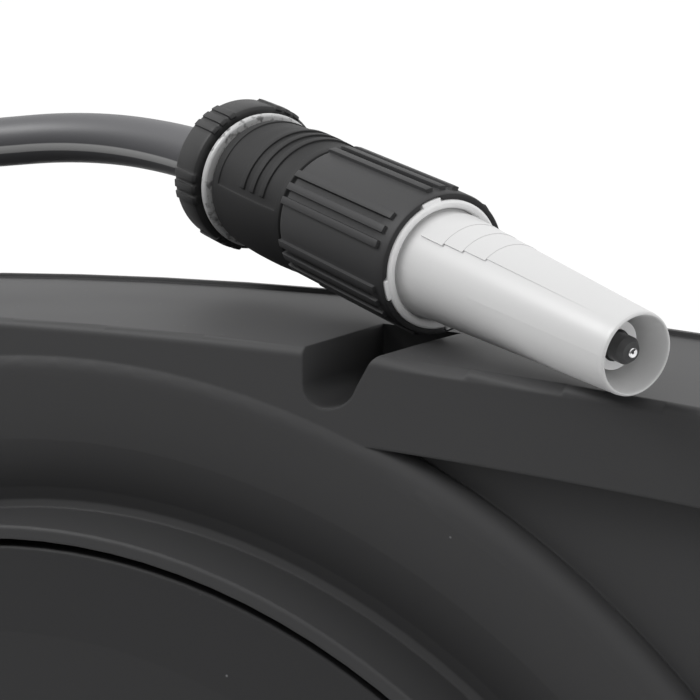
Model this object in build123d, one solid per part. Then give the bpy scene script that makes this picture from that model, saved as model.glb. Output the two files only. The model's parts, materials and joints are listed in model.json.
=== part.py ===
from build123d import *
import math
import os

# Wall-hung automatic hose reel with an adjustable spray nozzle, in millimetres.
# X runs from the hose outlet (-X) to the wall (+X), Z is up, the front is -Y.
# The origin is the centre of the wall plate's back; Y = 0 is the case's parting plane.

# ---- case
AXIS_X = -380.0            # drum axis
PIVOT_X = -118.0           # swivel axis
HALF_W = 235.0             # case half width at the parting plane
TOP_Z = 232.6              # crown of the case above the drum axis
CROWN_X = -50.0            # crown, measured from the drum axis
CROWN_R = 1700.0
CORNER_R = 62.0
FRONT_Y = -99.4            # front plane
REAR_Y = 97.0
FRONT_DRAFT = 1.72
REAR_DRAFT = 7.5
WALL = 3.2
LIP = 1.2                  # parting lip stands this far out
BAND = 21.5                # depth of the band round the front plane
RECESS_Y = -92.5           # face below the band
SHOULDER_R = 198.0
RING_R = 177.6
RING_INNER_R = 174.2
RING_Y = -107.0
DISC_R = 172.2
RIM_R = 6.0                # rounding of the bulge's rim
RIM_AT = 217.0             # radius of the rim's crest
SCOOP_X = -126.0           # hand hold, measured from the drum axis
SCOOP_HALF = 44.0
# ---- drum
CORE_R = 75.0
CORE_HALF = 58.0
FLANGE_R = 165.0
WOUND_R = 148.0
AXLE_R = 12.0
RUN = 0.05                 # radial running clearance
RATCHET_R = 48.0
TEETH = 12
# ---- hose
HOSE_D = 16.0
FEED_Y = 76.0
INLET_X = AXIS_X + 150.0
SCREW_PLACES = [(-205, 190), (-205, -196), (205, 185), (205, -192)]
OUT_Z = 84.0
OUT_X = AXIS_X - 243.0
LEAD_SLOPE = 17.0          # fall of the hose from the winding to the outlet
# ---- nozzle: mouth centre and the line back along it
MOUTH = Vector(AXIS_X + 153.3, -105.1, 227.8)
NOSE = Vector(0.8132, -0.5401, -0.217).normalized()
NUT_BACK = 180.0
NUT_FRONT = 165.4
SEAM = 123.3
SLEEVE_FRONT = 73.4
NUT_R = 21.2
SLEEVE_R = 18.5

os.makedirs("parts", exist_ok=True)


def save(shape, name):
    solids = shape.solids()
    print(name, len(solids), "solids", round(sum(s.volume for s in solids) / 1000, 2), "cm3")
    export_step(shape, f"parts/{name}.step")


def disc_y(radius, y_low, y_high, x=0.0, z=0.0):
    """Round bar along Y, placed from the drum axis."""
    middle = Pos(AXIS_X + x, (y_low + y_high) / 2, z)
    return middle * Rot(90, 0, 0) * Cylinder(radius, y_high - y_low)


def tube_y(outer, inner, y_low, y_high, x=0.0, z=0.0):
    return disc_y(outer, y_low, y_high, x, z) - disc_y(inner, y_low - 1, y_high + 1, x, z)


def bar_z(radius, z_low, z_high, x, y):
    return Pos(x, y, (z_low + z_high) / 2) * Cylinder(radius, z_high - z_low)


def block(x_low, x_high, y_low, y_high, z_low, z_high):
    middle = Pos((x_low + x_high) / 2, (y_low + y_high) / 2, (z_low + z_high) / 2)
    return middle * Box(x_high - x_low, y_high - y_low, z_high - z_low)


def turned_y(points, x=0.0, z=0.0):
    """Solid turned about the Y line at x, z; points are (radius, y)."""
    places = [(AXIS_X + x + radius, y, z) for radius, y in points]
    face = make_face(Polyline(*places, close=True).edges())
    return revolve(face, Axis((AXIS_X + x, 0, z), (0, 1, 0)), 360)


# %% the case outline

def crown_z(x):
    """Height of the crown arc at the parting plane, x from the drum axis."""
    return TOP_Z - (x - CROWN_X) ** 2 / (2 * CROWN_R)


def outline(grow=0.0):
    """Case outline at the parting plane, as a face in the XZ plane."""
    left, right = -HALF_W, HALF_W
    top = ThreePointArc((left, crown_z(left)), (CROWN_X, TOP_Z), (right, crown_z(right)))
    side_r = Line((right, crown_z(right)), (right, -crown_z(right)))
    bottom = ThreePointArc((right, -crown_z(right)), (CROWN_X, -TOP_Z), (left, -crown_z(left)))
    side_l = Line((left, -crown_z(left)), (left, crown_z(left)))
    face = make_face([top, side_r, bottom, side_l])
    face = fillet(face.vertices(), CORNER_R)
    if grow:
        face = offset(face, grow)
    # The sketch's Y becomes the model's Z; the normal points to the front.
    return Plane(origin=(AXIS_X, 0, 0), x_dir=(1, 0, 0), z_dir=(0, -1, 0)) * face


def half_block(depth, draft, grow=0.0, start=0.0):
    """Drafted block of the case outline; positive depth goes to the front."""
    face = Pos(0, -start, 0) * outline(grow)
    if depth > 0:
        return extrude(face, amount=depth, taper=draft)
    return extrude(face, amount=-depth, dir=(0, 1, 0), taper=draft)


def rear_block(depth, draft, grow=0.0):
    """Mirror of a front block: the same outline, drafted to the rear."""
    return mirror(half_block(depth, draft, grow), Plane.XZ)


def notch_face(y):
    """Notch outline in an XZ plane: straight wall, round foot, ramp up to the crown."""
    edges = [
        Line((70.9, 245), (70.9, 216.5)),
        ThreePointArc((70.9, 216.5), (73.2, 212.2), (77.5, 211.2)),
        ThreePointArc((77.5, 211.2), (82.0, 212.8), (84.6, 216.4)),
        Line((84.6, 216.4), (87.6, 221.6)),
        ThreePointArc((87.6, 221.6), (89.5, 223.9), (92.5, 225.1)),
        Line((92.5, 225.1), (98, 245)),
        Line((98, 245), (70.9, 245)),
    ]
    return Plane(origin=(AXIS_X, y, 0), x_dir=(1, 0, 0), z_dir=(0, -1, 0)) * make_face(edges)


def notch():
    """U notch through the front band, level along Y."""
    return extrude(notch_face(FRONT_Y - 4), amount=54, dir=(0, 1, 0))


def hand_scoop():
    """Shallow hand hold in the crown, left of the middle."""
    outline_face = Pos(AXIS_X + SCOOP_X, 0, 227.0) * Ellipse(SCOOP_HALF, 34)
    return extrude(outline_face, amount=30)


def outlet_window():
    return block(AXIS_X - 260, AXIS_X - 205, -26.2, 26.2, OUT_Z - 26.2, OUT_Z + 26.2)


def bulge_points():
    """Places on the bulge: rim centre, start of the dish, and the rim's foot on the recess."""
    centre_y = -100.4 + RIM_R
    lean = math.radians(18.0)
    inner = (RIM_AT - RIM_R * math.sin(lean), centre_y - RIM_R * math.cos(lean))
    foot = (RIM_AT + math.sqrt(RIM_R ** 2 - (centre_y - RECESS_Y) ** 2), RECESS_Y)
    return centre_y, inner, foot


def bulge():
    """Bulge turned about the drum axis: round rim, two-slope dish, raised ring and cover seat."""
    centre_y, inner, foot = bulge_points()

    def place(point):
        return (AXIS_X + point[0], point[1], 0)
    crest = (RIM_AT + RIM_R * math.sin(0.6), centre_y - RIM_R * math.cos(0.6))
    dish = [inner, (SHOULDER_R, -94.5), (184.5, -88.6), (181.0, -87.6), (RING_R + 1.2, -88.2),
            (RING_R, RING_Y + 0.6), (RING_R - 0.6, RING_Y), (RING_INNER_R, RING_Y), (RING_INNER_R, -93.9),
            (149, -93.9), (149, -90.4), (172, -90.4), (175, -84.2), (186, -84.2), (199.6, -91.0),
            (215.6, -96.5), (218.4, -95.4), (219.8, -92.0), (221.5, -85.0), (foot[0] + 3, -85.0),
            (foot[0] + 3, RECESS_Y), foot]
    edges = [Line(place(start), place(end)) for start, end in zip(dish, dish[1:])]
    edges.append(ThreePointArc(place(foot), place(crest), place(inner)))
    return revolve(make_face(edges), Axis((AXIS_X, 0, 0), (0, 1, 0)), 360)


def front_shell():
    body = half_block(-FRONT_Y, FRONT_DRAFT)
    front_edges = body.faces().sort_by(Axis.Y)[0].edges()
    body = fillet(front_edges, 2.6)
    body -= Pos(0, RECESS_Y, 0) * half_block(40, FRONT_DRAFT, -BAND - 2.8, 0)
    body -= disc_y(RIM_AT, -130, -80)
    body += half_block(3.4, 0, LIP)
    cavity = Pos(0, 0.5, 0) * half_block(89.0, FRONT_DRAFT, -WALL)
    cavity -= tube_y(240, 221.5, -130, -85) & disc_y(229, -130, -80)
    body -= cavity
    body += bulge()
    body -= notch()
    body += notch_wall()
    body -= hand_scoop()
    body += scoop_floor(-34, -0.0)
    body -= outlet_window()
    for x, z in SCREW_PLACES:
        body += disc_y(6, -90, -0.4, x, z)
        body -= disc_y(2.0, -40, 1, x, z)
    return body


def notch_wall():
    """Inner skin that closes the notch from the drum side."""
    skin = block(AXIS_X + 66, AXIS_X + 102, FRONT_Y + 3, FRONT_Y + 54, 204, 226)
    return (skin & half_block(-FRONT_Y - 1, FRONT_DRAFT, -1.5)) - notch()


def scoop_floor(y_low, y_high):
    floor = Pos(AXIS_X + SCOOP_X, 0, 224.0) * extrude(Ellipse(SCOOP_HALF + 3, 37), amount=3.0)
    return floor & block(AXIS_X - 240, AXIS_X, y_low - 3, y_high, 200, 240)


def rear_shell():
    body = rear_block(REAR_Y, REAR_DRAFT)
    rear_edges = body.faces().sort_by(Axis.Y)[-1].edges()
    body = fillet(rear_edges, 6)
    body += tube_y(RING_R, RING_INNER_R, REAR_Y - 3, REAR_Y + 6)
    cavity = Pos(0, -0.5, 0) * rear_block(REAR_Y - WALL, REAR_DRAFT, -WALL)
    body -= cavity
    body -= disc_y(150, 80, 130)
    body -= hand_scoop()
    body += scoop_floor(3.2, 37) & rear_block(REAR_Y, REAR_DRAFT)
    body -= outlet_window()
    # 0.2 mm joint line at the lip, and holes for the inlet socket.
    body -= block(AXIS_X - 260, AXIS_X + 260, -1, 0.2, -260, 260)
    body -= bar_z(13.6, -240, -190, INLET_X, FEED_Y)
    for x, z in SCREW_PLACES:
        body -= disc_y(2.6, 0, 110, x, z)
        body -= disc_y(5.0, REAR_Y - 3, 110, x, z)
    return body


def round_cover(base, top):
    """Round cover in the ring: rim, shallow dish and centre boss, 3 mm thick."""
    s = 1 if top > base else -1
    outside = [(DISC_R, base), (DISC_R, top - s * 0.5), (DISC_R - 0.5, top), (150, top),
               (122, top - s * 3.4), (60, top - s * 3.4), (52, top), (AXLE_R + 1, top)]
    inside = [(AXLE_R + 1, top - s * 3), (52, top - s * 3), (60, top - s * 6.4), (122, top - s * 6.4),
              (150, top - s * 3), (DISC_R - 4, top - s * 3), (DISC_R - 4, base)]
    return turned_y(outside + inside)


# %% drum

def drum_core():
    web = tube_y(CORE_R - 0.5, 17.0, -4, 0)
    return tube_y(CORE_R, CORE_R - 3, -CORE_HALF, CORE_HALF) + web


def drum_hub():
    return tube_y(17.0, AXLE_R + RUN, -CORE_HALF, CORE_HALF + 10)


def drum_flange(y_low, y_high):
    flange = tube_y(FLANGE_R, CORE_R - 3, y_low, y_high)
    for i in range(8):
        angle = math.radians(45 * i + 10)
        flange -= disc_y(13, y_low - 1, y_high + 1, 118 * math.cos(angle), 118 * math.sin(angle))
    return flange


def wound_hose():
    """Outer shape of the wound hose: one rounded turn beside the next."""
    turns = 7
    pitch = 2 * (CORE_HALF - 0.4) / turns
    base = WOUND_R - pitch / 2
    start = -CORE_HALF + 0.4
    edges = []
    for i in range(turns):
        y = start + i * pitch
        edges.append(ThreePointArc((AXIS_X + base, y, 0), (AXIS_X + WOUND_R, y + pitch / 2, 0),
                                   (AXIS_X + base, y + pitch, 0)))
    edges.append(Line((AXIS_X + base, -start, 0), (AXIS_X + CORE_R, -start, 0)))
    edges.append(Line((AXIS_X + CORE_R, -start, 0), (AXIS_X + CORE_R, start, 0)))
    edges.append(Line((AXIS_X + CORE_R, start, 0), (AXIS_X + base, start, 0)))
    return revolve(make_face(edges), Axis((AXIS_X, 0, 0), (0, 1, 0)), 360)


def ratchet():
    points = []
    for i in range(TEETH):
        angle = math.radians(360 / TEETH * i)
        points.append((RATCHET_R * math.cos(angle), RATCHET_R * math.sin(angle)))
        points.append(((RATCHET_R - 7) * math.cos(angle), (RATCHET_R - 7) * math.sin(angle)))
    places = [(AXIS_X + x, CORE_HALF + 4, z) for x, z in points]
    face = make_face(Polyline(*places, close=True).edges())
    wheel = extrude(face, amount=6, dir=(0, 1, 0))
    arms = disc_y(CORE_R - 3, CORE_HALF - 4, CORE_HALF) - disc_y(17, 40, 80)
    return (wheel - disc_y(17, 40, 90)) + tube_y(30, 17, CORE_HALF, CORE_HALF + 5) + arms


def half_turns(turns, pitch, inner, thick, y_low, y_high):
    """Flat spiral strip made of half-circle arcs."""
    outer_edges = []
    inner_edges = []
    x0 = inner
    side = 1
    for _ in range(turns * 2):
        span = x0 + pitch / 4
        centre = side * (x0 - span)
        for shift, edges in ((thick / 2, outer_edges), (-thick / 2, inner_edges)):
            radius = span + shift
            start = (AXIS_X + centre + side * radius, y_low, 0)
            middle = (AXIS_X + centre, y_low, side * radius)
            end = (AXIS_X + centre - side * radius, y_low, 0)
            edges.append(ThreePointArc(start, middle, end))
        x0 = span + abs(centre)
        side = -side
    edges = outer_edges + inner_edges
    edges.append(Line(outer_edges[0] @ 0, inner_edges[0] @ 0))
    edges.append(Line(outer_edges[-1] @ 1, inner_edges[-1] @ 1))
    return extrude(make_face(edges), amount=y_high - y_low, dir=(0, 1, 0))


def spring_cup():
    return tube_y(72.0, 68.5, -52, -4) + tube_y(69, 17.0, -6.5, -4)


# %% ratchet pawl and its pin

PAWL_X = 48.0
PAWL_Z = 36.0


def pawl():
    eye = disc_y(6, CORE_HALF + 4.5, CORE_HALF + 9.5, PAWL_X, PAWL_Z)
    points = [(43.4, 34), (42.4, 2.6), (45.5, 1.6), (52.6, 34)]
    places = [(AXIS_X + x, CORE_HALF + 4.5, z) for x, z in points]
    arm = extrude(make_face(Polyline(*places, close=True).edges()), amount=5, dir=(0, 1, 0))
    return (eye + arm) - disc_y(3 + RUN, 0, 120, PAWL_X, PAWL_Z)


def centre_cap(base, top):
    """Cap over the axle's end in a round cover."""
    s = 1 if top > base else -1
    return turned_y([(0, base), (AXLE_R + 1, base), (AXLE_R + 1, top - s * 2), (18, top - s * 2),
                     (18, top - s * 0.8), (17.2, top), (0, top)])


def case_screws():
    screws = None
    for x, z in SCREW_PLACES:
        screw = disc_y(2.0, -36, REAR_Y - 3, x, z) + disc_y(4.6, REAR_Y - 3, REAR_Y - 0.4, x, z)
        screw -= disc_y(1.6, REAR_Y - 1.8, REAR_Y, x, z)
        screws = screw if screws is None else screws + screw
    return screws


# %% outlet

def outlet_frame():
    frame = block(AXIS_X - 243, AXIS_X - 236.4, -29, 29, OUT_Z - 29, OUT_Z + 29)
    frame += block(AXIS_X - 243, AXIS_X - 207, -26, 26, OUT_Z - 26, OUT_Z + 26)
    frame -= block(AXIS_X - 260, AXIS_X - 200, -20, 20, OUT_Z - 20, OUT_Z + 20)
    for side in (-1, 1):
        frame -= bar_z(2.0, OUT_Z - 24, OUT_Z + 24, AXIS_X - 231, side * 14)
        frame -= Pos(AXIS_X - 217, 0, OUT_Z + side * 14) * Rot(90, 0, 0) * Cylinder(2.0, 48)
    return frame


def hose_lead():
    """Stretch from the top of the winding, down a little, and level through the rollers."""
    slope = math.radians(LEAD_SLOPE)
    wrap = WOUND_R - HOSE_D / 2
    touch = Vector(AXIS_X - wrap * math.sin(slope), 0, wrap * math.cos(slope))
    down = Vector(-math.cos(slope), 0, -math.sin(slope))
    start = touch + down * 70
    bend = touch + down * ((touch.Z - OUT_Z) / math.sin(slope))
    radius = 0.45 * abs(OUT_X - bend.X) / math.tan(slope / 2)
    path = FilletPolyline(start, bend, Vector(OUT_X, 0, OUT_Z), radius=radius)
    return sweep(Plane(path @ 0, z_dir=path % 0) * Circle(HOSE_D / 2), path=path)


def hose_stop():
    """Rubber ball clamped on the hose just outside the outlet."""
    ball = Sphere(16) & Cylinder(16, 24)
    ball -= Cylinder(HOSE_D / 2, 40)
    ball -= Cylinder(20, 1.2) - Cylinder(14.4, 1.2)
    return Pos(OUT_X - 17, 0, OUT_Z) * Rot(0, 90, 0) * ball


def waisted(radius, waist, length, bore):
    """Guide roller along Z about the origin, waisted for the hose."""
    h = length / 2
    edges = [Line((bore, -h), (radius, -h)), Line((radius, -h), (radius, -h + 3)),
             ThreePointArc((radius, -h + 3), (waist, 0), (radius, h - 3)),
             Line((radius, h - 3), (radius, h)), Line((radius, h), (bore, h)), Line((bore, h), (bore, -h))]
    face = Plane.XZ * make_face(edges)
    return revolve(face, Axis.Z, 360)


def upright_roller(side):
    return Pos(AXIS_X - 231, side * 14, OUT_Z) * waisted(5.4, 4.6, 39.2, 2.0 + RUN)


def level_roller(side):
    return Pos(AXIS_X - 217, 0, OUT_Z + side * 14) * Rot(90, 0, 0) * waisted(5.4, 4.6, 39.2, 2.0 + RUN)


def upright_pin(side):
    return bar_z(2.0, OUT_Z - 24, OUT_Z + 24, AXIS_X - 231, side * 14)


def level_pin(side):
    return Pos(AXIS_X - 217, 0, OUT_Z + side * 14) * Rot(90, 0, 0) * Cylinder(2.0, 48)


# %% swivel bracket

KNUCKLE_HALF = 80.0


def wall_plate():
    plate = extrude(Pos(0, 0, 0) * Plane.YZ * RectangleRounded(110, 320, 16), amount=-8)
    for y in (-36, 36):
        for z in (-130, 130):
            plate -= Pos(-4, y, z) * Rot(0, 90, 0) * Cylinder(4.2, 20)
            plate -= Pos(-7, y, z) * Rot(0, 90, 0) * Cylinder(7.5, 2.01)
    return plate


def bracket_arm(z_low, z_high):
    arm = block(PIVOT_X, -8, -18, 18, z_low, z_high) + bar_z(18, z_low, z_high, PIVOT_X, 0)
    corner = make_face(Polyline((-8, 18), (-8, 44), (-40, 18), close=True).edges())
    gusset = Pos(0, 0, z_low) * extrude(corner, amount=z_high - z_low)
    arm += gusset + mirror(gusset, Plane.XZ)
    return arm - bar_z(8.0, -200, 200, PIVOT_X, 0)


def bracket_web():
    web = block(-86, -8, -4, 4, -KNUCKLE_HALF - 0.3, KNUCKLE_HALF + 0.3)
    return web - Pos(-86, 0, 0) * Rot(90, 0, 0) * Cylinder(46, 20)


def knuckle(shell_blocks):
    web = block(AXIS_X + 222, PIVOT_X, -9, 9, -KNUCKLE_HALF, KNUCKLE_HALF)
    pad = block(AXIS_X + 222, AXIS_X + 242, -32, 32, -KNUCKLE_HALF, KNUCKLE_HALF)
    body = web + pad + bar_z(15, -KNUCKLE_HALF, KNUCKLE_HALF, PIVOT_X, 0)
    body -= bar_z(8.0 + RUN, -120, 120, PIVOT_X, 0)
    for shape in shell_blocks:
        body -= shape
    return body


def swivel_pin():
    return bar_z(8.0, -98, 96, PIVOT_X, 0) + bar_z(12.5, 94.3, 100, PIVOT_X, 0)


# %% water feed

def feed_pipe():
    y = FEED_Y
    path = FilletPolyline((AXIS_X + 16.8, y, 0), (AXIS_X + 150, y, -40), (AXIS_X + 150, y, -198), radius=60)
    section = Plane(path @ 0, z_dir=path % 0) * Circle(7)
    bore = Plane(path @ 0, z_dir=path % 0) * Circle(5)
    return sweep(section, path=path) - sweep(bore, path=path)


def inlet_socket():
    body = bar_z(10, -214, -198.2, INLET_X, FEED_Y) + bar_z(13.2, -246, -214, INLET_X, FEED_Y)
    body += bar_z(15.5, -230, -222, INLET_X, FEED_Y) - half_wall()
    return body - bar_z(5, -250, -190, INLET_X, FEED_Y)


def half_wall():
    return rear_block(REAR_Y, REAR_DRAFT, 0.2)


def axle_union():
    return tube_y(15.6, AXLE_R, FEED_Y - 7.5, FEED_Y + 7.5)


# %% nozzle, turned about its own line: t runs back from the mouth

NOZZLE = Plane(origin=MOUTH, x_dir=NOSE.cross(Vector(0, 0, 1)).normalized(), z_dir=-NOSE)


def turned_t(points):
    face = make_face(Polyline(*[(radius, 0, t) for radius, t in points], close=True).edges())
    return revolve(face, Axis.Z, 360)


def ribs_t(count, radius, width, proud, t_low, t_high, first=0.0, step=None):
    step = 360 / count if step is None else step
    bars = []
    for i in range(count):
        bar = Pos(radius + proud / 2, 0, (t_low + t_high) / 2) * Box(proud, width, t_high - t_low)
        bars.append(Rot(0, 0, first + step * i) * bar)
    return bars


def nozzle_nut():
    t0, t1 = NUT_FRONT, NUT_BACK
    bore = HOSE_D / 2 + 0.1
    body = turned_t([(9, t0), (NUT_R - 0.8, t0), (NUT_R, t0 + 0.8), (NUT_R, t1 - 3), (NUT_R - 4, t1 - 0.4),
                     (bore, t1), (bore, t0 + 3), (9, t0 + 3)])
    for group in range(6):
        for bar in ribs_t(3, NUT_R - 0.6, 1.9, 1.6, t0 + 0.8, t1 - 3.2, 60 * group - 18, 9.0):
            body += bar
    return body


def nozzle_body():
    t0 = SEAM + 0.25
    wide = SLEEVE_R + 0.9
    return turned_t([(4, 86), (12.6, 86), (12.6, t0), (SLEEVE_R + 0.4, t0), (wide, t0 + 9), (wide, t0 + 20),
                     (SLEEVE_R, t0 + 30), (SLEEVE_R - 1.2, t0 + 36), (SLEEVE_R - 1.6, 161.2), (16.0, 161.2),
                     (16.0, 165.2), (6.4, 165.2), (6.4, 112), (4, 110)])


def grip_ring():
    return turned_t([(16.0, 161.4), (19.6, 161.4), (19.6, 164.2), (16.0, 164.2)])


def ribbed_sleeve():
    t0, t1 = SLEEVE_FRONT, SEAM - 0.05
    body = turned_t([(14.9, t0), (SLEEVE_R - 0.8, t0), (SLEEVE_R, t0 + 1), (SLEEVE_R + 0.3, t1),
                     (12.8, t1), (12.8, t0 + 9), (14.9, t0 + 9)])
    body -= turned_t([(14.9, t0 - 1), (16.7, t0 - 1), (16.7, t0 + 7), (14.9, t0 + 7)])
    for group in range(6):
        for bar in ribs_t(3, SLEEVE_R - 0.6, 2.0, 1.35, t0 + 3.5, t1 - 9, 60 * group + 16, 12.0):
            body += bar
    for lug in lugs(0.25):
        body -= lug
    return body


def lugs(grow):
    long = 5.6 + grow
    tooth = Pos(16.0, 0, SLEEVE_FRONT + 3.1 - grow) * Box(3.2 + 2 * grow, 6.4 + 2 * grow, long + grow)
    return [Rot(0, 0, 90 * i + 68) * tooth for i in range(4)]


def collar_ring():
    t0 = SLEEVE_FRONT - 0.8
    ring = turned_t([(14.6, t0 + 0.8), (15.2, t0), (16.2, t0), (16.6, t0 + 0.5), (16.6, t0 + 6.9),
                     (14.6, t0 + 6.9)])
    core = turned_t([(0, t0 - 5), (14.7, t0 - 5), (14.7, t0 + 12), (0, t0 + 12)])
    for lug in lugs(0.0):
        ring += lug - core
    return ring


# Barrel stations (radius, t), then the raised panel's steps (t, half angle).
BARREL_OUTSIDE = [(9.86, 4), (9.98, 6), (12.25, 46), (12.7, 54), (13.1, 61), (13.6, 69.5), (13.85, 73.5)]
PANEL_STEPS = [(6, 45.0), (46, 48.0), (54, 51.0), (61, 54.0), (69.5, 54.0)]
PANEL_RISE = [(-0.01, 0.22), (0.30, 0.30), (0.38, 0.38), (0.46, 0.46)]
PANEL_AT = 93.0


def barrel():
    lip = [(8.3, 3), (8.75, 0.7), (8.9, 0.2), (9.1, 0.0), (9.35, 0.1), (9.6, 0.5), (9.75, 1.3)]
    back = [(14.35, 74.2), (14.35, 81.5), (11, 81.5), (9.8, 40), (5.4, 30), (5.4, 20)]
    body = turned_t(lip + BARREL_OUTSIDE + back)
    stations = dict((t, radius) for radius, t in BARREL_OUTSIDE)
    for (t0, half), (t1, _), (rise0, rise1) in zip(PANEL_STEPS, PANEL_STEPS[1:], PANEL_RISE):
        r0, r1 = stations[t0], stations[t1]
        strip = [(r0 - 1, 0, t0), (r0 + rise0, 0, t0), (r1 + rise1, 0, t1), (r1 - 1, 0, t1)]
        face = Rot(0, 0, PANEL_AT - half) * make_face(Polyline(*strip, close=True).edges())
        body += revolve(face, Axis.Z, 2 * half)
    return body


def spray_seat():
    return turned_t([(3.7, 7.0), (5.7, 7.0), (5.7, 10.6), (6.7, 10.6), (6.1, 13.6), (3.7, 13.6)])


def stem():
    return turned_t([(0, 2.0), (2.3, 2.0), (3.2, 3.2), (3.2, 12), (2.6, 12.6), (2.6, 24), (3.0, 26),
                     (3.0, 108), (0, 108)])


def tip_insert():
    return turned_t([(0.3, 1.4), (1.0, 1.2), (1.15, 1.4), (1.15, 2.0), (0.3, 2.0)])


def sleeve_seal():
    return turned_t([(12.61, 106), (12.78, 106), (12.78, 108), (12.61, 108)])


def hose_washer():
    return turned_t([(6.0, 165.2), (8.8, 165.2), (8.8, 167.8), (6.0, 167.8)])


# %% free hose

def route():
    """Hand-set points from the outlet, up and over the case, into the nozzle nut."""
    nut = MOUTH - NOSE * 168.0
    last = MOUTH - NOSE * 237.0
    steps = [(-0.5, 0, 0), (-57, 0, 0), (-104, 1, 34), (-122, 2, 89), (-104, 3, 144), (-57, 5, 178),
             (28, 8, 183), (117, 14.5, 189)]
    return [Vector(OUT_X + x, y, OUT_Z + z) for x, y, z in steps] + [last, nut]


def bend_radii(points):
    radii = []
    for before, here, after in zip(points, points[1:], points[2:]):
        turn = (here - before).get_angle(after - here)
        shorter = min((here - before).length, (after - here).length)
        radii.append(0.45 * shorter / math.tan(math.radians(turn) / 2))
        run = round((after - here).length, 1)
        print("corner turns", round(turn, 1), "degrees, radius", round(radii[-1], 1), "run", run)
    return radii


def free_hose():
    points = route()
    print("first run", round((points[1] - points[0]).length, 1))
    path = FilletPolyline(*points, radius=bend_radii(points))
    tube = sweep(Plane(path @ 0, z_dir=path % 0) * Circle(HOSE_D / 2), path=path)
    exact = math.pi * HOSE_D ** 2 / 4 * path.length
    print("hose length", round(path.length, 1), "volume ratio", round(tube.volume / exact, 4))
    return tube


# %% everything

front_solid = front_shell()
rear_solid = rear_shell()
save(front_solid, "front_shell")
save(rear_solid, "rear_shell")
save(round_cover(-93.9, RING_Y + 0.6), "front_cover")
save(round_cover(REAR_Y, REAR_Y + 6), "rear_cover")
save(tube_y(AXLE_R, 7, -102.4, 100), "axle")
save(axle_union(), "axle_union")
save(centre_cap(-102.4, -108.4), "front_centre_cap")
save(centre_cap(100, 105.0), "rear_centre_cap")
save(drum_core(), "drum_core")
save(drum_hub(), "drum_hub")
save(drum_flange(-CORE_HALF - 3.5, -CORE_HALF), "drum_flange_front")
save(drum_flange(CORE_HALF, CORE_HALF + 3.5), "drum_flange_rear")
save(wound_hose(), "wound_hose")
save(ratchet(), "ratchet_wheel")
save(spring_cup(), "spring_cup")
save(half_turns(9, 4.6, 20.0, 1.2, -46, -12), "main_spring")
save(pawl(), "pawl")
save(disc_y(3.0, CORE_HALF + 4, REAR_Y - 0.4, PAWL_X, PAWL_Z), "pawl_pin")
save(case_screws(), "case_screws")
save(outlet_frame(), "outlet_frame")
save(hose_lead(), "hose_lead")
save(hose_stop(), "hose_stop")
for label, side in (("front", -1), ("rear", 1)):
    save(upright_roller(side), f"guide_roller_{label}")
    save(upright_pin(side), f"guide_pin_{label}")
for label, side in (("lower", -1), ("upper", 1)):
    save(level_roller(side), f"guide_roller_{label}")
    save(level_pin(side), f"guide_pin_{label}")
save(wall_plate(), "wall_plate")
save(bracket_arm(KNUCKLE_HALF + 0.3, 94), "bracket_arm_upper")
save(bracket_arm(-94, -KNUCKLE_HALF - 0.3), "bracket_arm_lower")
save(bracket_web(), "bracket_web")
save(swivel_pin(), "swivel_pin")
save(knuckle([front_solid, rear_solid]), "swivel_knuckle")
save(feed_pipe(), "feed_pipe")
save(inlet_socket(), "inlet_socket")
save(NOZZLE * nozzle_nut(), "nozzle_nut")
save(NOZZLE * grip_ring(), "nozzle_grip_ring")
save(NOZZLE * nozzle_body(), "nozzle_body")
save(NOZZLE * ribbed_sleeve(), "nozzle_sleeve")
save(NOZZLE * collar_ring(), "nozzle_collar")
save(NOZZLE * barrel(), "nozzle_barrel")
save(NOZZLE * spray_seat(), "spray_seat")
save(NOZZLE * stem(), "nozzle_stem")
save(NOZZLE * tip_insert(), "spray_tip")
save(NOZZLE * sleeve_seal(), "sleeve_seal")
save(NOZZLE * hose_washer(), "hose_washer")
save(free_hose(), "hose")
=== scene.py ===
# %% [markdown]
# # A wall-hung automatic hose reel and its spray nozzle
# The CAD model gives every part its place and size. This file adds what CAD leaves plain:
# the free hose, the moulded nozzle with its grip ribs, and the finish of every surface.
# Lengths are in millimetres here, and MM makes them metres where Blender needs them.

# %% Load the CAD frame
import json
import math
import bmesh
import bpy
from mathutils import Matrix, Vector


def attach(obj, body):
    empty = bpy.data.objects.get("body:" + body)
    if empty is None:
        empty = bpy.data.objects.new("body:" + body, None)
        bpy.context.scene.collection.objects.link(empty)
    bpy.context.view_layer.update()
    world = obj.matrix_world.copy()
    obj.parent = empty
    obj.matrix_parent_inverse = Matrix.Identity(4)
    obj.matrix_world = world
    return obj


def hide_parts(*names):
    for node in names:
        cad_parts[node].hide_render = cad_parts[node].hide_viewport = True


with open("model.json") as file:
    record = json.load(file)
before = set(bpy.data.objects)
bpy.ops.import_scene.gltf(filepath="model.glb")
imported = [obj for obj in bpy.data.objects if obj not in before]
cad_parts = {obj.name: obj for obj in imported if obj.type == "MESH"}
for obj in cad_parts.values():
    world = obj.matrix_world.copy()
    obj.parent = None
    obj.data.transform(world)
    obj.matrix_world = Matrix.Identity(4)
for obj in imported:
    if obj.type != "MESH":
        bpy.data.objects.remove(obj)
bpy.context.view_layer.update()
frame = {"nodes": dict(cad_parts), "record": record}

MM = 0.001

# %% [markdown]
# ## Camera
# A long lens looks from the front right, a little above the case's crown, at the nozzle
# lying there. It is placed on a line back from the point that it looks at, so its angle and
# distance stay two plain numbers.

# %% Camera
AXIS_X = -380.0
LOOK_AT = Vector((AXIS_X + 54.6, -34.0, 217.7)) * MM
AZIMUTH = math.radians(23.6)
ELEVATION = math.radians(6.1)
DISTANCE = 0.4922
LENS = 92.26
SENSOR = 36.0

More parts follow.
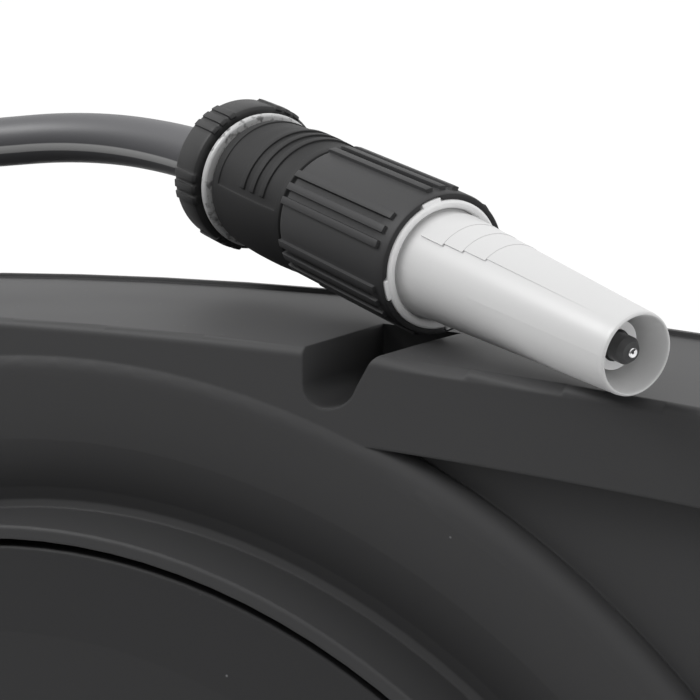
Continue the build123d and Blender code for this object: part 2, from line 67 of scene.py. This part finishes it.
back = Vector((math.sin(AZIMUTH) * math.cos(ELEVATION),
               -math.cos(AZIMUTH) * math.cos(ELEVATION),
               math.sin(ELEVATION)))
camera_data = bpy.data.cameras.new("camera")
camera_data.lens = LENS
camera_data.sensor_width = SENSOR
camera_data.clip_start = 0.01
camera = bpy.data.objects.new("camera", camera_data)
camera.location = LOOK_AT + back * DISTANCE
camera.rotation_euler = (-back).to_track_quat("-Z", "Y").to_euler()
bpy.context.scene.collection.objects.link(camera)
bpy.context.scene.camera = camera

# %% [markdown]
# ## Floor and light
# A pale floor lies well below the hanging reel. The studio is white behind, above and to the
# right, and dim at the front left, which is what the flat front reflects. A soft lamp at the
# upper left is the key light, and a larger and weaker one lights from above.

# %% Floor and light
FLOOR_SIZE = 5.0
FLOOR_Z = -0.75
bpy.ops.object.select_all(action="DESELECT")
bpy.ops.mesh.primitive_plane_add(size=FLOOR_SIZE, location=(0.0, 0.0, FLOOR_Z))
floor = bpy.context.object
floor.name = "floor"

STUDIO_WHITE = (0.45, 0.65, 0.61)
STUDIO_FADE = (-0.9, 0.15)
STUDIO_DIM = 0.12
STUDIO_STRENGTH = 1.02
world = bpy.data.worlds.new("light_tent")
world.use_nodes = True
studio = world.node_tree
studio_coords = studio.nodes.new("ShaderNodeTexCoord")
towards = studio.nodes.new("ShaderNodeVectorMath")
towards.operation = "DOT_PRODUCT"
towards.inputs[1].default_value = STUDIO_WHITE
fade = studio.nodes.new("ShaderNodeMapRange")
fade.inputs["From Min"].default_value = STUDIO_FADE[0]
fade.inputs["From Max"].default_value = STUDIO_FADE[1]
fade.inputs["To Min"].default_value = STUDIO_DIM
fade.inputs["To Max"].default_value = 1.0
studio.links.new(studio_coords.outputs["Generated"], towards.inputs[0])
studio.links.new(towards.outputs["Value"], fade.inputs["Value"])
studio.links.new(fade.outputs["Result"], studio.nodes["Background"].inputs["Color"])
studio.nodes["Background"].inputs["Strength"].default_value = STUDIO_STRENGTH
bpy.context.scene.world = world
bpy.context.scene.view_settings.view_transform = "Standard"


def soft_lamp(name, place, aim, size, power):
    """A square area lamp at a place, facing another."""
    lamp_data = bpy.data.lights.new(name, "AREA")
    lamp_data.size = size
    lamp_data.energy = power
    lamp = bpy.data.objects.new(name, lamp_data)
    lamp.location = place
    direction = Vector(aim) - Vector(place)
    lamp.rotation_euler = direction.to_track_quat("-Z", "Y").to_euler()
    bpy.context.scene.collection.objects.link(lamp)


soft_lamp("key_lamp", (-0.75, -0.38, 0.75), (-0.30, -0.08, 0.22), 0.3, 3.0)
soft_lamp("top_lamp", (-0.45, -0.25, 1.4), (-0.33, -0.05, 0.2), 0.9, 2.0)

# %% [markdown]
# ## Finishes
# Moulded plastic is never perfectly even. Each finish is one shader with a fine grain in its
# bump and a slow drift in its roughness, both on the piece's own coordinates, so that the
# grain has the same size everywhere.


# %% Finish maker
BUMP_HEIGHT = 0.0002
DRIFT_SCALE = 14.0
DUST_SCALE = 95.0


def new_finish(name, colour, roughness, specular=0.5):
    """A material with its Principled shader set, and that shader."""
    material = bpy.data.materials.new(name)
    material.use_nodes = True
    shader = material.node_tree.nodes["Principled BSDF"]
    shader.inputs["Base Color"].default_value = (*colour, 1.0)
    shader.inputs["Roughness"].default_value = roughness
    shader.inputs["Specular IOR Level"].default_value = specular
    return material, shader


def add_grain(material, shader, scale, depth, drift=0.05):
    """Fine noise for the bump, slow noise for the roughness."""
    tree = material.node_tree
    coords = tree.nodes.new("ShaderNodeTexCoord")
    fine = tree.nodes.new("ShaderNodeTexNoise")
    fine.inputs["Scale"].default_value = scale
    fine.inputs["Detail"].default_value = 3.0
    bump = tree.nodes.new("ShaderNodeBump")
    bump.inputs["Strength"].default_value = depth
    bump.inputs["Distance"].default_value = BUMP_HEIGHT
    tree.links.new(coords.outputs["Object"], fine.inputs["Vector"])
    tree.links.new(fine.outputs["Fac"], bump.inputs["Height"])
    tree.links.new(bump.outputs["Normal"], shader.inputs["Normal"])
    slow = tree.nodes.new("ShaderNodeTexNoise")
    slow.inputs["Scale"].default_value = DRIFT_SCALE
    spread = tree.nodes.new("ShaderNodeMapRange")
    middle = shader.inputs["Roughness"].default_value
    spread.inputs["To Min"].default_value = middle - drift
    spread.inputs["To Max"].default_value = middle + drift
    tree.links.new(coords.outputs["Object"], slow.inputs["Vector"])
    tree.links.new(slow.outputs["Fac"], spread.inputs["Value"])
    tree.links.new(spread.outputs["Result"], shader.inputs["Roughness"])
    return coords


def add_dust(material, shader, coords, base, dust, amount):
    """Sparse pale specks, as fine dust on dark plastic."""
    tree = material.node_tree
    cells = tree.nodes.new("ShaderNodeTexVoronoi")
    cells.inputs["Scale"].default_value = DUST_SCALE
    ramp = tree.nodes.new("ShaderNodeValToRGB")
    ramp.color_ramp.elements[0].position = 0.0
    ramp.color_ramp.elements[0].color = (*dust, 1.0)
    ramp.color_ramp.elements[1].position = amount
    ramp.color_ramp.elements[1].color = (*base, 1.0)
    tree.links.new(coords.outputs["Object"], cells.inputs["Vector"])
    tree.links.new(cells.outputs["Distance"], ramp.inputs["Fac"])
    tree.links.new(ramp.outputs["Color"], shader.inputs["Base Color"])


def round_edges(material, radius):
    """Shades sharp edges as if they were rounded; the grain's bump is laid over it."""
    tree = material.node_tree
    edge = tree.nodes.new("ShaderNodeBevel")
    edge.samples = 4
    edge.inputs["Radius"].default_value = radius * MM
    for node in tree.nodes:
        if node.bl_idname == "ShaderNodeBump":
            tree.links.new(edge.outputs["Normal"], node.inputs["Normal"])


def plastic(name, colour, roughness, scale=2600.0, depth=0.12, dust=0.0, specular=0.5):
    """Moulded plastic or rubber, with dust where it is asked for."""
    material, shader = new_finish(name, colour, roughness, specular)
    coords = add_grain(material, shader, scale, depth)
    if dust:
        pale = tuple(min(1.0, c * 4.0 + 0.1) for c in colour)
        add_dust(material, shader, coords, colour, pale, dust)
    return material


# %% The finishes of this reel
case_finish = plastic(
    "case_moulded", (0.042, 0.042, 0.043), 0.52, dust=0.04, specular=0.22)
cover_finish = plastic(
    "cover_moulded", (0.025, 0.025, 0.026), 0.5, dust=0.04, specular=0.25)
round_edges(case_finish, 1.1)
round_edges(cover_finish, 0.9)
bracket_finish = plastic("bracket_moulded", (0.038, 0.038, 0.040), 0.5)
drum_finish = plastic("drum_moulded", (0.07, 0.07, 0.075), 0.5)
stem_finish = plastic("stem_moulded", (0.045, 0.045, 0.046), 0.45, scale=4200.0)
seat_finish = plastic("seat_white", (0.88, 0.88, 0.88), 0.4, scale=900.0, depth=0.05)
grip_finish = plastic(
    "grip_soft", (0.021, 0.021, 0.022), 0.55, scale=4200.0, depth=0.2, dust=0.02,
    specular=0.4)
dome_finish = plastic(
    "dome_soft", (0.012, 0.012, 0.0125), 0.6, scale=4200.0, depth=0.2, specular=0.3)
nut_finish = plastic(
    "nut_moulded", (0.016, 0.016, 0.0165), 0.5, scale=3800.0, specular=0.4)
white_finish = plastic("barrel_white", (0.58, 0.58, 0.58), 0.33, scale=900.0, depth=0.05)
# The collar is the same white plastic as the barrel but much paler here. This is partly its
# own paler finish and partly painted light for the light that falls on it from the front
# right.
collar_painted_light_finish = plastic("collar_white_painted_light", (0.88, 0.88, 0.88), 0.4, scale=900.0, depth=0.05)
hose_finish_plain = plastic("hose_outer", (0.06, 0.06, 0.063), 0.5, scale=1500.0, depth=0.1)
seal_finish = plastic("seal_rubber", (0.015, 0.015, 0.016), 0.7, scale=3000.0)


def metal(name, colour, roughness):
    """Bare metal with a fine grain."""
    material, shader = new_finish(name, colour, roughness)
    shader.inputs["Metallic"].default_value = 1.0
    add_grain(material, shader, 1800.0, 0.08, drift=0.04)
    return material


steel_finish = metal("bright_steel", (0.62, 0.62, 0.63), 0.3)
brass_finish = metal("turned_brass", (0.78, 0.60, 0.28), 0.3)
tip_finish = metal("tip_metal", (0.85, 0.85, 0.86), 0.15)

# %% [markdown]
# The grip ring is translucent plastic with dark flecks inside it. A little transmission
# lightens it, and sharp noise makes the flecks.

# %% Flecked clear ring
clear_finish, clear_shader = new_finish("ring_translucent", (0.6, 0.6, 0.6), 0.28)
clear_shader.inputs["Transmission Weight"].default_value = 0.25
ring_tree = clear_finish.node_tree
ring_coords = add_grain(clear_finish, clear_shader, 700.0, 0.15)
ring_noise = ring_tree.nodes.new("ShaderNodeTexNoise")
ring_noise.inputs["Scale"].default_value = 420.0
ring_noise.inputs["Detail"].default_value = 2.0
ring_ramp = ring_tree.nodes.new("ShaderNodeValToRGB")
ring_ramp.color_ramp.elements[0].position = 0.36
ring_ramp.color_ramp.elements[0].color = (0.2, 0.2, 0.2, 1.0)
ring_ramp.color_ramp.elements[1].position = 0.47
ring_ramp.color_ramp.elements[1].color = (0.62, 0.62, 0.62, 1.0)
ring_tree.links.new(ring_coords.outputs["Object"], ring_noise.inputs["Vector"])
ring_tree.links.new(ring_noise.outputs["Fac"], ring_ramp.inputs["Fac"])
ring_tree.links.new(ring_ramp.outputs["Color"], clear_shader.inputs["Base Color"])

# %% [markdown]
# The hose is extruded dark plastic with one pale line along it. The curve's own UV map runs
# round the tube in V, so a narrow step in V draws the line wherever the hose goes.

# %% Striped hose
hose_finish, hose_shader = new_finish("hose_striped", (0.07, 0.07, 0.075), 0.42)
hose_tree = hose_finish.node_tree
add_grain(hose_finish, hose_shader, 1200.0, 0.08)
hose_uv = hose_tree.nodes.new("ShaderNodeUVMap")
hose_split = hose_tree.nodes.new("ShaderNodeSeparateXYZ")
hose_line = hose_tree.nodes.new("ShaderNodeValToRGB")
LINE_START = 0.503
LINE_END = LINE_START + 0.045
LINE_BLUR = 0.006
body_grey = (0.075, 0.075, 0.08, 1.0)
line_grey = (0.36, 0.36, 0.36, 1.0)
hose_line.color_ramp.elements[0].position = 0.0
hose_line.color_ramp.elements[0].color = body_grey
hose_line.color_ramp.elements[1].position = LINE_START - LINE_BLUR
hose_line.color_ramp.elements[1].color = body_grey
for position, shade in ((LINE_START, line_grey), (LINE_END, line_grey),
                        (LINE_END + LINE_BLUR, body_grey)):
    stop = hose_line.color_ramp.elements.new(position)
    stop.color = shade
hose_tree.links.new(hose_uv.outputs["UV"], hose_split.inputs["Vector"])
hose_tree.links.new(hose_split.outputs["Y"], hose_line.inputs["Fac"])
hose_tree.links.new(hose_line.outputs["Color"], hose_shader.inputs["Base Color"])

# %% Give the CAD nodes their finishes
floor_finish = plastic("pale_floor", (0.9, 0.9, 0.9), 0.9, scale=40.0, depth=0.02)
floor.data.materials.append(floor_finish)

finish_of = {
    "case_plastic": case_finish, "cover_plastic": cover_finish,
    "bracket_plastic": bracket_finish, "drum_plastic": drum_finish,
    "steel": steel_finish, "brass": brass_finish,
    "hose_rubber": hose_finish_plain, "seal_rubber": seal_finish,
    "nozzle_dark": grip_finish, "nozzle_clear": clear_finish,
    "nozzle_white": white_finish, "tip_metal": tip_finish,
}
own_finish_of = {"nozzle_stem": stem_finish, "spray_seat": seat_finish}
for subpart in frame["record"]["subparts"]:
    name = subpart["node"]
    node = frame["nodes"][name]
    node.data.materials.clear()
    node.data.materials.append(own_finish_of.get(name, finish_of[subpart["material_slot"]]))
print("finished", len(frame["nodes"]), "CAD nodes")

# %% [markdown]
# ## The free hose
# A hose is one smooth line with a round section. The points are the hose route's corners:
# out of the roller frame, round a loop, over the crown and into the nozzle's nut.

# %% Hose
HOSE_D = 16.0
OUT_X = AXIS_X - 243.0
OUT_Z = 84.0
MOUTH = Vector((AXIS_X + 153.3, -105.1, 227.8))
NOSE = Vector((0.8132, -0.5401, -0.217)).normalized()
hose_route = [
    (OUT_X - 0.5, 0, OUT_Z), (OUT_X - 57, 0, OUT_Z), (OUT_X - 104, 1, OUT_Z + 34),
    (OUT_X - 122, 2, OUT_Z + 89), (OUT_X - 104, 3, OUT_Z + 144), (OUT_X - 57, 5, OUT_Z + 178),
    (OUT_X + 28, 8, OUT_Z + 183), (OUT_X + 117, 14.5, OUT_Z + 189),
    MOUTH - NOSE * 237.0, MOUTH - NOSE * 168.0,
]
hose_curve = bpy.data.curves.new("hose_line", "CURVE")
hose_curve.dimensions = "3D"
line = hose_curve.splines.new("NURBS")
line.points.add(len(hose_route) - 1)
for point, place in zip(line.points, hose_route):
    point.co = (*(Vector(place) * MM), 1.0)
line.order_u = 3
line.use_endpoint_u = True
line.resolution_u = 24
hose_curve.bevel_depth = HOSE_D / 2 * MM
hose_curve.bevel_resolution = 12
hose_curve.twist_mode = "Z_UP"
hose = bpy.data.objects.new("garden_hose", hose_curve)
bpy.context.scene.collection.objects.link(hose)
hose.data.materials.append(hose_finish)
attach(hose, "case")
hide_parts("hose")
print("hose", len(hose_route), "points")

# %% [markdown]
# ## Turning and picking helpers
# The nozzle is nearly all round parts. Each starts as one circle that is extruded from
# station to station along the nozzle's own line, then selected faces are raised or sunk.
# When it is finished, its mesh is carried to the nozzle's place on the case.

# %% Helpers for round parts
SIDES = 120
SMOOTH_ANGLE = 40
side_way = NOSE.cross(Vector((0, 0, 1))).normalized()
up_way = (-NOSE).cross(side_way)
nozzle_turn = Matrix((side_way, up_way, -NOSE)).transposed().to_4x4()
nozzle_place = Matrix.Translation(MOUTH * MM) @ nozzle_turn


def take_hold(piece):
    """Makes a piece the only one that is selected, and the active one."""
    bpy.ops.object.select_all(action="DESELECT")
    bpy.context.view_layer.objects.active = piece
    piece.select_set(True)


def turn(name, stations):
    """A ring drawn out from station to station, each (radius, t), back to where it began."""
    bpy.ops.object.select_all(action="DESELECT")
    radius, t = stations[0]
    bpy.ops.mesh.primitive_circle_add(
        vertices=SIDES, radius=radius * MM, location=(0, 0, t * MM))
    piece = bpy.context.object
    piece.name = name
    piece.data.name = name
    bpy.ops.object.transform_apply(location=True, rotation=True, scale=True)
    bpy.ops.object.mode_set(mode="EDIT")
    bpy.ops.mesh.select_mode(type="VERT")
    bpy.ops.mesh.select_all(action="SELECT")
    for next_radius, next_t in list(stations[1:]) + [stations[0]]:
        step = (0, 0, (next_t - t) * MM)
        bpy.ops.mesh.extrude_region_move(TRANSFORM_OT_translate={"value": step})
        ratio = next_radius / radius
        bpy.ops.transform.resize(
            value=(ratio, ratio, 1.0), center_override=(0, 0, next_t * MM))
        radius, t = next_radius, next_t
    bpy.ops.mesh.select_all(action="SELECT")
    bpy.ops.mesh.remove_doubles(threshold=0.000002)
    bpy.ops.mesh.normals_make_consistent(inside=False)
    bpy.ops.object.mode_set(mode="OBJECT")
    return piece


def pick(piece, test):
    """In edit mode, selects the faces that pass test(angle, radius, t, normal_out)."""
    take_hold(piece)
    bpy.ops.object.mode_set(mode="EDIT")
    bpy.ops.mesh.select_mode(type="FACE")
    bpy.ops.mesh.select_all(action="DESELECT")
    mesh = bmesh.from_edit_mesh(piece.data)
    for face in mesh.faces:
        centre = face.calc_center_median()
        radius = math.hypot(centre.x, centre.y)
        angle = math.degrees(math.atan2(centre.y, centre.x)) % 360
        outwards = (face.normal.x * centre.x + face.normal.y * centre.y) / max(radius, 1e-9)
        face.select_set(test(angle, radius / MM, centre.z / MM, outwards))
    bmesh.update_edit_mesh(piece.data)


def raise_picked(height):
    """Raises (or sinks) the picked faces along their normals, in mm."""
    bpy.ops.mesh.extrude_region_shrink_fatten(
        TRANSFORM_OT_shrink_fatten={"value": height * MM})
    bpy.ops.object.mode_set(mode="OBJECT")


def soften(piece, width, segments=2, angle=32):
    """Rounds the piece's edges that are sharper than the angle, for good."""
    take_hold(piece)
    bevel = piece.modifiers.new("edge", "BEVEL")
    bevel.width = width * MM
    bevel.segments = segments
    bevel.limit_method = "ANGLE"
    bevel.angle_limit = math.radians(angle)
    bpy.ops.object.modifier_apply(modifier=bevel.name)
    bpy.ops.object.shade_smooth_by_angle(angle=math.radians(SMOOTH_ANGLE))


def fit_to_nozzle(piece, finish, body, slot, *nodes):
    """Carries a finished piece to its place and hides the CAD nodes that it stands for."""
    piece.data.transform(nozzle_place)
    piece.data.update()
    piece.data.materials.append(finish)
    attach(piece, body)
    if nodes:
        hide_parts(*nodes)
    print(piece.name, len(piece.data.polygons), "faces")


def from_angle(angle, middle):
    """Signed distance in degrees from a middle angle."""
    return (angle - middle + 180) % 360 - 180


def near_any(angle, middles, half):
    """True within half a width of any of the middle angles."""
    return any(abs(from_angle(angle, middle)) < half for middle in middles)


# %% [markdown]
# ## Ribbed sleeve
# The sleeve is what the hand turns. Three long ribs stand together, six times round it, with
# sunk channels between them. The columns of faces are 3 degrees wide, so a rib is two
# columns and a channel is two columns.

# %% Sleeve
SEAM = 123.3
SLEEVE_FRONT = 73.4
RIM_RADIUS = 16.75
CHANNEL_FRONT = 79.6
RIB_FRONT = 76.7
RIB_HALF = 2.9
RIB_MIDDLES = [60 * group + 27 + 12 * k for group in range(6) for k in (-1, 0, 1)]
CHANNELS = [60 * group + 27 + 6 * k for group in range(6) for k in (-1, 1)]
sleeve = turn("grip_sleeve", [
    (12.9, SEAM - 0.1), (17.6, SEAM - 0.1), (18.35, SEAM - 0.6), (18.6, SEAM - 1.6),
    (18.45, 79.5), (18.4, 76.6), (18.35, 74.4), (18.1, SLEEVE_FRONT),
    (RIM_RADIUS, SLEEVE_FRONT), (RIM_RADIUS, 79.0), (14.9, 79.0), (12.9, 84.0)])
pick(sleeve, lambda a, r, t, out: (
    out > 0.5 and r > 18 and t > CHANNEL_FRONT and near_any(a, CHANNELS, RIB_HALF)))
raise_picked(-0.45)
pick(sleeve, lambda a, r, t, out: (
    out > 0.5 and r > 18.2 and t > RIB_FRONT and near_any(a, RIB_MIDDLES, RIB_HALF)))
raise_picked(0.95)

# %% [markdown]
# Four notches in the sleeve's front hold the white collar's lugs. The inner rim's points are
# spread outwards where a lug goes, so the rim stays one closed skin.

# %% Notches for the collar's lugs
LUG_MIDDLES = [-22, 68, 158, 248]
LUG_HALF = 10.5
NOTCH_RADIUS = 17.8
take_hold(sleeve)
bpy.ops.object.mode_set(mode="EDIT")
bpy.ops.mesh.select_mode(type="VERT")
bpy.ops.mesh.select_all(action="DESELECT")
mesh = bmesh.from_edit_mesh(sleeve.data)
for vertex in mesh.verts:
    radius = math.hypot(vertex.co.x, vertex.co.y) / MM
    angle = math.degrees(math.atan2(vertex.co.y, vertex.co.x)) % 360
    inner_rim = abs(radius - RIM_RADIUS) < 0.05
    vertex.select_set(inner_rim and near_any(angle, LUG_MIDDLES, LUG_HALF))
mesh.select_flush_mode()
bmesh.update_edit_mesh(sleeve.data)
ratio = NOTCH_RADIUS / RIM_RADIUS
bpy.ops.transform.resize(value=(ratio, ratio, 1.0), center_override=(0, 0, 0))
bpy.ops.object.mode_set(mode="OBJECT")
soften(sleeve, 0.28)
fit_to_nozzle(sleeve, grip_finish, "nozzle_sleeve", "nozzle_dark", "nozzle_sleeve")

# %% [markdown]
# ## White collar
# The collar locks the barrel into the sleeve. It is a flat ring with four wider lugs.

# %% Collar
collar = turn("lock_collar", [
    (14.45, 73.3), (14.9, 72.7), (16.0, 72.6), (16.5, 73.0), (16.6, 73.2), (16.6, 78.6),
    (14.45, 78.6)])
pick(collar, lambda a, r, t, out: (
    out > 0.5 and r > 16.55 and near_any(a, LUG_MIDDLES, LUG_HALF - 1.8)))
raise_picked(0.95)
soften(collar, 0.18)
fit_to_nozzle(collar, collar_painted_light_finish, "nozzle_sleeve", "nozzle_white", "nozzle_collar")

# %% [markdown]
# ## Nozzle body
# The body is a soft dome behind the sleeve. Its top is pressed in a little, down to a
# straight crease, and three curved ridges cross the pressed part.

# %% Body
TOP = 90
PRESSED_HALF = 87
RIDGE_HALF = 81
body = turn("nozzle_dome", [
    (12.7, SEAM + 0.5), (17.4, SEAM + 0.4), (18.25, SEAM + 0.9), (18.45, 126.5),
    (18.95, 132.4), (19.05, 134.6), (19.2, 137.4), (19.25, 139.6), (19.3, 142.4),
    (19.3, 144.6), (19.3, 148.0), (19.2, 152.0), (18.95, 157.3), (18.6, 160.4),
    (18.0, 162.0), (17.2, 162.8), (15.9, 163.1), (12.0, 163.1), (12.0, 150.0)])
pick(body, lambda a, r, t, out: (
    out > 0.5 and 126.5 < t < 157.2 and abs(from_angle(a, TOP)) < PRESSED_HALF))
raise_picked(-0.4)
for low, high in ((132.4, 134.6), (137.4, 139.6), (142.4, 144.6)):
    pick(body, lambda a, r, t, out: (
        out > 0.5 and r > 17.5 and low < t < high and abs(from_angle(a, TOP)) < RIDGE_HALF))
    raise_picked(0.55)
soften(body, 0.3, segments=3, angle=25)
fit_to_nozzle(body, dome_finish, "case", "nozzle_dark", "nozzle_body")

# %% [markdown]
# ## Hose nut
# The nut clamps the hose. Three broad ribs stand together, six times round it.

# %% Nut
NUT_AT = 167.3
nut = turn("hose_nut", [(radius, NUT_AT + step) for radius, step in (
    (16.2, 0.0), (20.3, 0.0), (21.1, 0.7), (21.2, 2.5), (21.2, 10.7), (20.6, 12.1),
    (18.4, 13.3), (12.0, 14.1), (8.15, 14.4), (8.15, 3.5), (16.2, 3.1))])
NUT_RIBS = [60 * group - 9 + 9 * k for group in range(6) for k in (-1, 0, 1)]
pick(nut, lambda a, r, t, out: (
    out > 0.5 and r > 20.6 and t < NUT_AT + 10.8 and near_any(a, NUT_RIBS, RIB_HALF)))
raise_picked(0.6)
soften(nut, 0.25)
fit_to_nozzle(nut, nut_finish, "case", "nozzle_dark", "nozzle_nut")

# %% Clear ring
RING_AT = 163.3
ring = turn("clear_ring", [(radius, RING_AT + step) for radius, step in (
    (12.2, 0.0), (19.1, 0.0), (19.6, 0.5), (19.75, 1.3), (19.6, 2.2), (19.0, 2.7),
    (12.2, 2.7))])
soften(ring, 0.2)
fit_to_nozzle(ring, clear_finish, "case", "nozzle_clear", "nozzle_grip_ring")

# %% Deselect everything and finish
bpy.ops.object.select_all(action="DESELECT")
